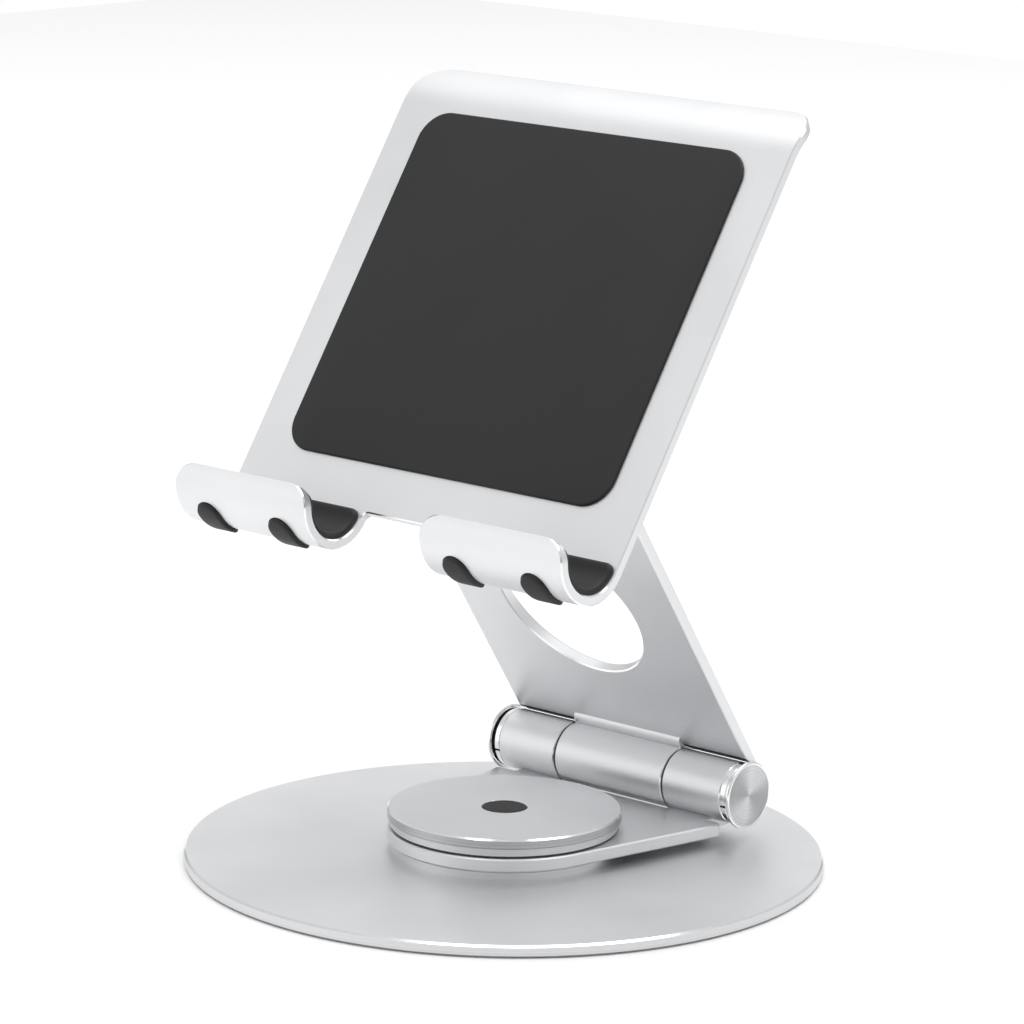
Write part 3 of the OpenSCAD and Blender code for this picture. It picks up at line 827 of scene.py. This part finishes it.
@dataclass
class Base:
    """Round base with its boss, spacer, cap disc and plug."""

    radius: float = 80.0
    low: float = 0.4
    top: float = 3.2
    pad_radius: float = 75.05
    pad_top: float = 1.2
    boss_radius: float = 28.6
    boss_top: float = 5.3
    spacer_low: float = 9.2
    cap_radius: float = 29.4
    cap_low: float = 11.3
    cap_top: float = 13.8
    plug_radius: float = 5.65
    bore: float = 3.05
    screw_pitch: float = 28.284

    def build(self, shop: Workshop) -> None:
        """Make and dress the pieces that never move.

        Args:
            shop: the workshop.
        """
        plate = Shape()
        plate.lathe(
            [
                (8.1, self.pad_top),
                (self.pad_radius, self.pad_top),
                (self.pad_radius, self.low),
                (self.radius - 0.3, self.low),
                (self.radius, self.low + 0.3),
                (self.radius, self.top - 0.5),
                (self.radius - 0.5, self.top),
                (8.1, self.top),
            ],
            bands={3: 1, 4: 1, 5: 2},
            steps=256,
        )
        shop.place(plate, "base_plate", (BLASTED, TURNED_RIM, BRIGHT), "base", ["base_disc"], "alu")
        boss = Shape()
        boss.lathe(disc_profile(self.boss_radius, self.top, self.boss_top, 0, 0.2, self.bore), steps=192)
        shop.place(boss, "boss", (TURNED_RIM,), "base", ["swivel_boss"], "alu")
        spacer = Shape()
        profile = disc_profile(self.boss_radius, self.spacer_low, self.cap_low, 0.2, 0, self.bore)
        spacer.lathe(profile, steps=192)
        shop.place(spacer, "spacer", (TURNED_RIM,), "base", ["spacer_disc"], "alu")
        cap = Shape()
        cap.lathe(
            [
                (self.bore, self.cap_low),
                (self.cap_radius - 0.2, self.cap_low),
                (self.cap_radius, self.cap_low + 0.2),
                (self.cap_radius, self.cap_top - 0.4),
                (self.cap_radius - 0.4, self.cap_top),
                (self.plug_radius + 0.2, self.cap_top),
                (self.plug_radius + 0.05, self.cap_top - 0.15),
                (self.plug_radius + 0.05, self.cap_low + 0.6),
                (self.bore, self.cap_low + 0.6),
            ],
            bands={1: 1, 2: 1, 3: 2, 5: 2},
            steps=192,
        )
        shop.place(cap, "cap_plate", (BLASTED, TURNED_CAP_RIM_PAINTED_DARK, BRIGHT), "base", ["cap_disc"], "alu")
        plug = Shape()
        plug.lathe(disc_profile(self.plug_radius, self.cap_top - 0.7, self.cap_top, 0, 0.12), steps=96)
        shop.place(plug, "plug", (SILICONE,), "base", ["cap_plug"], "silicone")
        length = self.boss_top - 0.4 - self.pad_top
        screws = ScrewGrid("boss_screw_set", self.screw_pitch, self.screw_pitch, length)
        screws.build(shop, "base", "boss_screws", Matrix.Translation((0, 0, self.pad_top)))
        for node in ("pivot_bush", "pivot_screw", "pivot_spring_washer", "pivot_nut"):
            shop.dress(node, STEEL)
        for node in ("slip_washer_lower", "slip_washer_upper"):
            shop.dress(node, NYLON)
        shop.dress("base_pad", SILICONE)


# ---------------------------------------------------------------- hinges


@dataclass
class Hinge:
    """Turned pieces at the two ends of one friction hinge."""

    name: str
    body: str
    axis_y: float
    axis_z: float
    knuckle_end: float
    knuckle_radius: float = 7.9
    ring_thickness: float = 1.7
    ring_inner: float = 5.9
    slit_angle: float = 194.0
    slit: float = 0.6
    gap: float = 0.6
    cap_radius: float = 8.6
    cap_thickness: float = 1.1
    spigot_radius: float = 5.55
    spigot: float = 0.8

    def centre(self) -> tuple[float, float, float]:
        """Return a point on the axis, in millimetres."""
        return (0.0, self.axis_y, self.axis_z)

    def frame(self, side: Side) -> Matrix:
        """Return the place of a body of revolution about X on one side."""
        return side_matrix(side) @ Matrix.Translation(self.centre()) @ TURN_TO_X

    def build(self, shop: Workshop) -> None:
        """Make both caps and both split rings, and dress the inner pieces.

        Args:
            shop: the workshop.
        """
        face = TurnedSurface(
            f"turned_{self.name}",
            (0.62, 0.625, 0.635),
            (0.78, 0.785, 0.795),
            0.34,
            0.44,
            1.0,
            0.0,
            0.6,
            centre=self.centre(),
            lines=2600.0,
            anisotropic=0.92,
            # Depth of the dark fans of reflection painted into the cap face's colour
            painted_fan_depth=0.42,
        )
        for side in Side:
            label = side.name.lower()
            shop.place(
                self.cap(),
                f"{self.name}_end_cap_{label}",
                (face, BRIGHT),
                self.body,
                [f"{self.name}_cap_{label}"],
                "spun",
                self.frame(side),
            )
            shop.place(
                self.ring(),
                f"{self.name}_split_ring_{label}",
                (BRIGHT,),
                self.body,
                [f"{self.name}_ring_{label}"],
                "spun",
                self.frame(side),
            )
        shop.dress(f"{self.name}_bolt", STEEL)
        shop.dress(f"{self.name}_nut", STEEL)
        shop.dress(f"{self.name}_disc_springs", STEEL)
        shop.dress(f"{self.name}_nylon_washers", NYLON)

    def cap(self) -> Shape:
        """Return one end cap about Z: face, bright round rim and spigot."""
        low = self.knuckle_end + self.ring_thickness + self.gap
        high = low + self.cap_thickness
        r = self.cap_radius
        shape = Shape()
        rim = [
            (r - 0.5 + 0.5 * math.sin(a), high - 0.5 + 0.5 * math.cos(a))
            for a in (math.radians(90 - 18 * i) for i in range(6))
        ]
        shape.lathe(
            [
                (0.0, self.knuckle_end - self.spigot),
                (self.spigot_radius, self.knuckle_end - self.spigot),
                (self.spigot_radius, low),
                (r - 0.3, low),
                (r, low + 0.3),
                *rim,
                (r - 0.62, high),
                (r - 0.7, high - 0.07),
                (0.0, high - 0.07),
            ],
            bands={i: 1 for i in range(2, 12)},
            steps=128,
        )
        return shape

    def ring(self) -> Shape:
        """Return one split ring about Z, its slit low at the front."""
        half = math.degrees(math.asin(self.slit / 2 / self.knuckle_radius))
        middle = self.slit_angle
        r, t, e = self.knuckle_radius - 0.1, self.ring_thickness, self.knuckle_end
        shape = Shape()
        shape.lathe(
            [
                (self.ring_inner, e),
                (r - 0.2, e),
                (r, e + 0.2),
                (r, e + t - 0.2),
                (r - 0.2, e + t),
                (self.ring_inner, e + t),
            ],
            sweep=(middle + half, middle + 360 - half),
        )
        return shape


# ---------------------------------------------------------------- camera and light


@dataclass(frozen=True)
class Patch:
    """Brighter or darker part of the dome around one direction."""

    towards: tuple[float, float, float]
    edge: float
    core: float
    gain: float


@dataclass(frozen=True)
class Studio:
    """Camera, lights, floor and surroundings."""

    azimuth: float = 41.291
    elevation: float = 12.489
    roll: float = 1.002
    focal: float = 4547.5
    distance: float = 1140.69
    shift_right: float = -2.096
    shift_up: float = -87.147
    image: float = 1024.0
    sensor: float = 36.0
    dome: float = 0.68
    patches: tuple[Patch, ...] = (
        Patch((0.66, -0.75, -0.05), 0.8, 0.97, -0.3),
        Patch((-0.6, 0.6, 0.55), 0.86, 0.98, 0.3),
        Patch((-0.64, -0.76, 0.18), 0.82, 0.97, 0.58),
        Patch((-0.64, 0.76, 0.0), 0.75, 0.97, -0.26),
    )

    def camera(self) -> None:
        """Set the camera up."""
        a, e, roll = (math.radians(v) for v in (self.azimuth, self.elevation, self.roll))
        right0 = Vector((math.cos(a), math.sin(a), 0))
        back = Vector((math.sin(a) * math.cos(e), -math.cos(a) * math.cos(e), math.sin(e)))
        up0 = back.cross(right0)
        right = math.cos(roll) * right0 + math.sin(roll) * up0
        up = -math.sin(roll) * right0 + math.cos(roll) * up0
        place = -self.shift_right * right - self.shift_up * up + self.distance * back
        data = bpy.data.cameras.new("camera")
        data.sensor_width = self.sensor
        data.lens = self.focal * self.sensor / self.image
        data.clip_start = 0.05
        data.clip_end = 20.0
        camera = bpy.data.objects.new("camera", data)
        rotation = Matrix((right, up, back)).transposed().to_4x4()
        camera.matrix_world = Matrix.Translation(place * MM) @ rotation
        bpy.context.scene.collection.objects.link(camera)
        bpy.context.scene.camera = camera

    def area(
        self, name: str, place: Sequence[float], aim: Sequence[float], size: Point2, power: float
    ) -> None:
        """Add one soft box.

        Args:
            name: the light's name.
            place: where it hangs, in metres.
            aim: what it points at.
            size: width and height in metres.
            power: watts.
        """
        data = bpy.data.lights.new(name, "AREA")
        data.shape = "RECTANGLE"
        data.size, data.size_y = size
        data.energy = power
        light = bpy.data.objects.new(name, data)
        light.location = place
        light.rotation_euler = (Vector(aim) - Vector(place)).to_track_quat("-Z", "Y").to_euler()
        bpy.context.scene.collection.objects.link(light)

    def surroundings(self) -> None:
        """White room as the camera sees it, and a softly uneven dome of light on the stand."""
        world = bpy.data.worlds.new("studio")
        bpy.context.scene.world = world
        world.use_nodes = True
        nodes, link = world.node_tree.nodes, world.node_tree.links.new
        background = nodes["Background"]
        coord = nodes.new("ShaderNodeTexCoord")
        total: bpy.types.NodeSocket | None = None
        for patch in self.patches:
            dot = nodes.new("ShaderNodeVectorMath")
            dot.operation = "DOT_PRODUCT"
            dot.inputs[1].default_value = Vector(patch.towards).normalized()
            link(coord.outputs["Generated"], dot.inputs[0])
            spread = nodes.new("ShaderNodeMapRange")
            spread.interpolation_type = "SMOOTHSTEP"
            spread.inputs["From Min"].default_value = patch.edge
            spread.inputs["From Max"].default_value = patch.core
            spread.inputs["To Max"].default_value = patch.gain
            link(dot.outputs["Value"], spread.inputs["Value"])
            add = nodes.new("ShaderNodeMath")
            add.inputs[0].default_value = self.dome
            if total is not None:
                link(total, add.inputs[0])
            link(spread.outputs["Result"], add.inputs[1])
            total = add.outputs[0]
        path = nodes.new("ShaderNodeLightPath")
        seen = nodes.new("ShaderNodeMath")
        seen.operation = "MAXIMUM"
        link(total, seen.inputs[0])
        link(path.outputs["Is Camera Ray"], seen.inputs[1])
        link(seen.outputs[0], background.inputs["Strength"])
        background.inputs["Color"].default_value = (1.0, 1.0, 1.0, 1.0)

    def floor(self) -> None:
        """Lay a pale floor that the stand stands on."""
        shape = Shape()
        shape.slab([(-1500, -1500), (1500, -1500), (1500, 1500), (-1500, 1500)], [(0, -20), (0, 0)])
        mesh = shape.finish("floor", Matrix())
        material = bpy.data.materials.new("pale_floor")
        material.use_nodes = True
        shader = material.node_tree.nodes["Principled BSDF"]
        shader.inputs["Base Color"].default_value = (0.93, 0.93, 0.93, 1)
        shader.inputs["Roughness"].default_value = 0.75
        mesh.materials.append(material)
        floor = bpy.data.objects.new("floor", mesh)
        bpy.context.scene.collection.objects.link(floor)

    def build(self) -> None:
        """Put everything in place."""
        self.camera()
        self.surroundings()
        self.floor()
        self.area("top", (0.1, 0.2, 2.4), (0, 0, 0.0), (2.6, 2.6), 46.0)
        scene = bpy.context.scene
        scene.view_settings.view_transform = "Standard"
        scene.view_settings.look = "None"


LOWER = Hinge("lower", "swivel", 47.3, 15.2, 37.0)
UPPER = Hinge(
    "upper",
    "holder",
    47.3 - 102.5 * math.cos(math.radians(55.6)),
    15.2 + 102.5 * math.sin(math.radians(55.6)),
    28.0,
)
STRUT_FRAME = Matrix.Translation(LOWER.centre()) @ Matrix.Rotation(math.radians(180 - 55.6), 4, "X")
HOLDER_FRAME = (
    Matrix.Translation(UPPER.centre())
    @ Matrix.Rotation(math.radians(56.3), 4, "X")
    @ Matrix.Translation((0, -18.9, 14.2))
)


# ---------------------------------------------------------------- swivel plate


@dataclass
class Swivel:
    """Teardrop plate with the two outer knuckles of the lower hinge."""

    round_radius: float = 29.4
    corner_x: float = 36.0
    corner_y: float = 38.6
    corner_radius: float = 1.6
    low: float = 5.5
    top: float = 8.8
    chamfer: float = 0.35
    pivot_bore: float = 6.05
    notch_front: float = 41.5
    seat_end: float = 32.0
    inner: float = 18.3
    outer: float = 37.0
    knuckle_radius: float = 7.9
    rear: float = 43.1

    def outline(self) -> Loop:
        """Return the plate's outline: front circle, tangents, corners and rear edge."""
        reach = math.hypot(self.corner_x, self.corner_y)
        tangent = math.degrees(
            math.atan2(self.corner_y, self.corner_x)
            - math.acos((self.round_radius - self.corner_radius) / reach)
        )
        loop = arc((0, 0), self.round_radius, 180 - tangent, 360 + tangent, 140)
        loop += arc((self.corner_x, self.corner_y), self.corner_radius, tangent, 90, 10)
        edge = self.corner_y + self.corner_radius
        right = [(self.seat_end, edge), (self.seat_end, self.rear), (self.inner, self.rear)]
        right.append((self.inner, self.notch_front))
        loop += right + [(-x, y) for x, y in reversed(right)]
        loop += arc((-self.corner_x, self.corner_y), self.corner_radius, 90, 180 - tangent, 10)
        return loop

    def seat(self) -> Loop:
        """Return the side outline of a knuckle's seat, as (Y, Z) about the hinge axis."""
        low, top = self.low - LOWER.axis_z, self.top - LOWER.axis_z
        front = self.rear - LOWER.axis_y
        return [
            (front - 4, low),
            (2.6, low),
            (4.4, low + 1.2),
            (6.0, -4.6),
            (0.0, 0.0),
            (front - 0.2, top - 0.2),
            (front - 4, top - 0.2),
        ]

    def build(self, shop: Workshop) -> None:
        """Make the plate as one piece.

        Args:
            shop: the workshop.
        """
        shape = Shape()
        hole = arc((0, 0), self.pivot_bore, 0, 351, 39)
        shape.slab(
            self.outline(), cut_edge(self.low, self.top, self.chamfer), [hole]
        )
        for side in Side:
            seat = Shape()
            levels = cut_edge(self.inner + 0.02, self.seat_end - 0.02, 0.25)
            seat.slab(self.seat(), levels, bands={0: 1, 2: 1})
            shape.absorb(seat, LOWER.frame(side))
            knuckle = Shape()
            r = self.knuckle_radius
            knuckle.lathe(
                [
                    (3.05, self.inner),
                    (r - 0.22, self.inner),
                    (r, self.inner + 0.22),
                    (r, self.outer - 0.22),
                    (r - 0.22, self.outer),
                    (5.6, self.outer),
                    (5.6, self.outer - 6.8),
                    (3.05, self.outer - 6.8),
                ],
                bands={1: 1, 3: 1},
            )
            shape.absorb(knuckle, LOWER.frame(side))
        shop.place(shape, "swivel_arm", (BLASTED, BRIGHT), "swivel", ["swivel_plate"], "alu")


# ---------------------------------------------------------------- strut


@dataclass
class Strut:
    """Flat strut with a cable hole and a middle knuckle at each end."""

    half_width: float = 38.2
    length: float = 102.5
    tip: float = 2.5
    hollow: float = 8.4
    end: float = 7.05
    face: float = -5.9
    back: float = -8.9
    hole_centre: float = 51.3
    hole_radius: float = 22.0
    neck_half: float = 17.7
    knuckle_radius: float = 7.9
    bush_bore: float = 4.52
    side_cut: float = 0.35
    front_cut: float = 1.1
    end_cut: float = 1.1

    def blade(self) -> Shape:
        """Return the flat part, its ends rounder than its sides."""
        shape = Shape()
        thick = self.face - self.back
        verts = []
        for share in (0.0, 0.04, 0.1, 0.2, 0.34, 0.5, 0.66, 0.75, 0.83, 0.9, 0.95, 0.98, 1.0):
            z = self.back + share * thick
            side = self.half_width - max(0.0, self.side_cut - min(share, 1 - share) * thick)
            low = max(self.tip, math.sqrt(max(0.0, self.hollow**2 - z * z)))
            low += rounding(self.face - z, self.front_cut)
            low += rounding(z - self.back, self.side_cut)
            high = self.length - self.end - rounding(min(share, 1 - share) * thick, self.end_cut)
            verts.append([shape.bm.verts.new((x, y, z)) for x, y in box_loop(side, low, high)])
        for k in range(len(verts) - 1):
            for i in range(4):
                j = (i + 1) % 4
                made = shape.bm.faces.new([verts[k][i], verts[k][j], verts[k + 1][j], verts[k + 1][i]])
                # The hollow's faces at the low end take material 2: shade painted where the knuckle's
                # recess lies in shadow
                made.material_index = 2 if i == 0 and 1 < k < 11 else 0
        hole = arc((0, self.hole_centre), self.hole_radius, 0, 357.5, 143)
        walls = []
        for inset, z in cut_edge(self.back, self.face, 0.35):
            walls.append([shape.bm.verts.new((x, y, z)) for x, y in shrink(hole, -inset)])
        count = len(hole)
        for k in range(3):
            for i in range(count):
                j = (i + 1) % count
                made = shape.bm.faces.new([walls[k][i], walls[k + 1][i], walls[k + 1][j], walls[k][j]])
                made.material_index = 1 if k != 1 else 0
        for ring, wall, up in ((verts[0], walls[0], -1.0), (verts[-1], walls[-1], 1.0)):
            shape.cover(shape.border(ring) + shape.border(wall), up)
        return shape

    def neck(self) -> Loop:
        """Return the side outline of the neck, as (Y, Z) about the knuckle's axis."""
        return [
            (8.9, self.face),
            (8.55, -5.45),
            (8.0, -5.12),
            (7.2, -4.93),
            (6.2, -4.84),
            (0.0, 0.0),
            (-1.0, 0.25 - self.knuckle_radius),
            (2.2, self.back + 0.03),
            (9.0, self.back + 0.03),
        ]

    def build(self, shop: Workshop) -> None:
        """Make the strut as one piece and dress its bushes.

        Args:
            shop: the workshop.
        """
        shape = self.blade()
        r, half = self.knuckle_radius, self.neck_half
        for flip in (False, True):
            turn = Matrix()
            if flip:
                turn = Matrix.Translation((0, self.length, 0)) @ Matrix.Scale(-1, 4, (0, 1, 0))
            neck = Shape()
            neck.slab(self.neck()[::-1], cut_edge(-half, half, 0.2), bands={0: 1, 2: 1})
            shape.absorb(neck, turn @ TURN_TO_X)
            knuckle = Shape()
            knuckle.lathe(
                [
                    (self.bush_bore, -half),
                    (r - 0.22, -half),
                    (r, 0.22 - half),
                    (r, half - 0.22),
                    (r - 0.22, half),
                    (self.bush_bore, half),
                ],
                bands={1: 1, 3: 1},
            )
            shape.absorb(knuckle, turn @ TURN_TO_X)
        shop.place(shape, "strut_arm", (BLASTED, BRIGHT, HOLLOW_PAINTED_SHADE), "strut", ["strut"], "alu", STRUT_FRAME)
        shop.dress("strut_bush_lower", NYLON)
        shop.dress("strut_bush_upper", NYLON)


# ---------------------------------------------------------------- holder


@dataclass
class Holder:
    """Bent sheet with two hooks, silicone liners with tabs, and a face pad."""

    half_width: float = 63.1
    sheet: float = 2.5
    cut_low: float = -0.5
    flat_top: float = 108.0
    flare_radius: float = 20.5
    flare_angle: float = 44.2
    top_corner: float = 9.9
    hook_axis: float = -2.2
    hook_radius: float = 9.2
    hook_inner: float = 18.5
    hook_short: float = 6.0
    lip_corner: float = 6.0
    fillet: float = 2.0
    tab_width: float = 7.6
    tab_offset: float = 12.2
    tab_start: float = 54.0
    tab_end: float = 118.0
    tab_proud: float = 1.0
    liner: float = 1.5
    liner_inset: float = 0.7
    pad_half: float = 52.3
    pad_low: float = 11.9
    pad_high: float = 107.3
    pad_thickness: float = 0.8
    pad_corner: float = 8.0

    def scale(self) -> float:
        """Return flat length per radian of the hook, measured on the outer face."""
        return self.hook_radius + self.sheet

    def rule(self, point: Vector) -> Vector:
        """Bend a point of the flat blank.

        Args:
            point: X, length along the sheet, and height over its face.

        Returns:
            The point on the bent sheet.
        """
        x, t, h = point
        if t > self.flat_top:
            angle = (t - self.flat_top) / self.flare_radius
            r = self.flare_radius + h
            return Vector((x, self.flat_top + r * math.sin(angle), r * math.cos(angle) - self.flare_radius))
        if t < self.hook_axis:
            angle = (self.hook_axis - t) / self.scale()
            r = self.hook_radius - h
            return Vector((x, self.hook_axis - r * math.sin(angle), self.hook_radius - r * math.cos(angle)))
        return Vector(point)

    def at_angle(self, angle: float) -> float:
        """Return the flat length at an angle from the hook's front, in degrees."""
        return self.hook_axis - math.radians(180 - angle) * self.scale()

    def outline(self) -> Loop:
        """Return the blank's outline: two hooks, the cut between them and round corners."""
        w, i = self.half_width, self.hook_inner
        lip = self.at_angle(self.hook_short)
        top = self.flat_top + math.radians(self.flare_angle) * self.flare_radius
        r, c, f = self.lip_corner, self.top_corner, self.fillet
        loop = arc((-w + r, lip + r), r, 180, 270, 12)
        loop += arc((-i - r, lip + r), r, 270, 360, 12)
        loop += arc((-i + f, self.cut_low - f), f, 180, 90, 8)
        loop += arc((i - f, self.cut_low - f), f, 90, 0, 8)
        loop += arc((i + r, lip + r), r, 180, 270, 12)
        loop += arc((w - r, lip + r), r, 270, 360, 12)
        loop += arc((w - c, top - c), c, 0, 90, 16)
        loop += arc((-w + c, top - c), c, 90, 180, 16)
        return loop

    def tabs(self, grow: float) -> list[Loop]:
        """Return the outlines of the four slots or tabs on the blank.

        Args:
            grow: how much larger than the tab.

        Returns:
            The outlines.
        """
        middle = (self.hook_inner + self.half_width) / 2
        low, high = self.at_angle(self.tab_start), self.at_angle(self.tab_end)
        centre = (low + high) / 2
        width, length = self.tab_width + 2 * grow, high - low + 2 * grow
        return [
            stadium((side.value * (middle + offset), centre), width, length)
            for side in Side
            for offset in (-self.tab_offset, self.tab_offset)
        ]

    def cuts(self) -> list[float]:
        """Return the lengths at which the blank is sliced before it is bent."""
        lip = self.at_angle(self.hook_short) - 1
        hook = [self.hook_axis - (self.hook_axis - lip) * i / 64 for i in range(65)]
        top = self.flat_top + math.radians(self.flare_angle) * self.flare_radius
        flare = [self.flat_top + (top - self.flat_top) * i / 20 for i in range(20)]
        return hook + flare

    def bent(self, shape: Shape) -> Shape:
        """Slice a flat shape and bend it."""
        shape.slice(self.cuts())
        shape.bend(self.rule)
        return shape

    def plate(self) -> Shape:
        """Return the bent sheet with its slots."""
        shape = Shape()
        shape.slab(
            self.outline(), cut_edge(-self.sheet, 0.0, 0.3), self.tabs(0.05), bands={0: 1, 2: 1}
        )
        return self.bent(shape)

    def lining(self, side: Side) -> Shape:
        """Return one hook's liner with its two tabs."""
        x0, x1 = self.hook_inner + self.liner_inset, self.half_width - self.liner_inset
        if side is Side.LEFT:
            x0, x1 = -x1, -x0
        low, high = self.at_angle(self.hook_short + 2), self.cut_low + 0.1
        r = self.lip_corner - self.liner_inset
        shape = Shape()
        shape.slab(
            rounded_box(x0, x1, low, high, (r, r, 2.2, 2.2)),
            round_edge(0.02, self.liner, 0.0, 0.9, 5),
        )
        for loop in self.tabs(0.0):
            if loop[0][0] * side.value > 0:
                shape.slab(loop, round_edge(-self.sheet - self.tab_proud, 0.5, 0.7, 0.0, 5))
        return self.bent(shape)

    def build(self, shop: Workshop) -> None:
        """Make the sheet, the liners and the pad, and dress the bracket.

        Args:
            shop: the workshop.
        """
        shop.place(
            self.plate(), "holder_sheet", (BLASTED, BRIGHT), "holder", ["holder_plate"], "alu", HOLDER_FRAME
        )
        for side in Side:
            label = side.name.lower()
            shop.place(
                self.lining(side),
                f"liner_{label}",
                (SILICONE,),
                "holder",
                [f"hook_liner_{label}"],
                "silicone",
                HOLDER_FRAME,
            )
        pad = Shape()
        c = self.pad_corner
        pad.slab(
            rounded_box(-self.pad_half, self.pad_half, self.pad_low, self.pad_high, (c, c, c, c), 20),
            round_edge(0.0, self.pad_thickness, 0.0, 0.5, 4),
        )
        shop.place(pad, "pad", (SILICONE,), "holder", ["face_pad"], "silicone", HOLDER_FRAME)
        shop.dress("holder_bracket", BLASTED)
        middle = Matrix.Translation((0, 21.55, 0)) @ Matrix.Rotation(math.pi, 4, "X")
        ScrewGrid("bracket_screw_set", 48.0, 12.1, self.sheet + 2.0).build(
            shop, "holder", "bracket_screws", HOLDER_FRAME @ middle
        )


def main() -> None:
    """Build the stand and its studio."""
    logging.basicConfig(level=logging.INFO, format="%(name)s: %(message)s")
    shop = Workshop()
    Studio().build()
    Base().build(shop)
    Swivel().build(shop)
    LOWER.build(shop)
    Strut().build(shop)
    UPPER.build(shop)
    Holder().build(shop)
    LOG.info("all pieces in place")


if __name__ == "__main__":
    main()
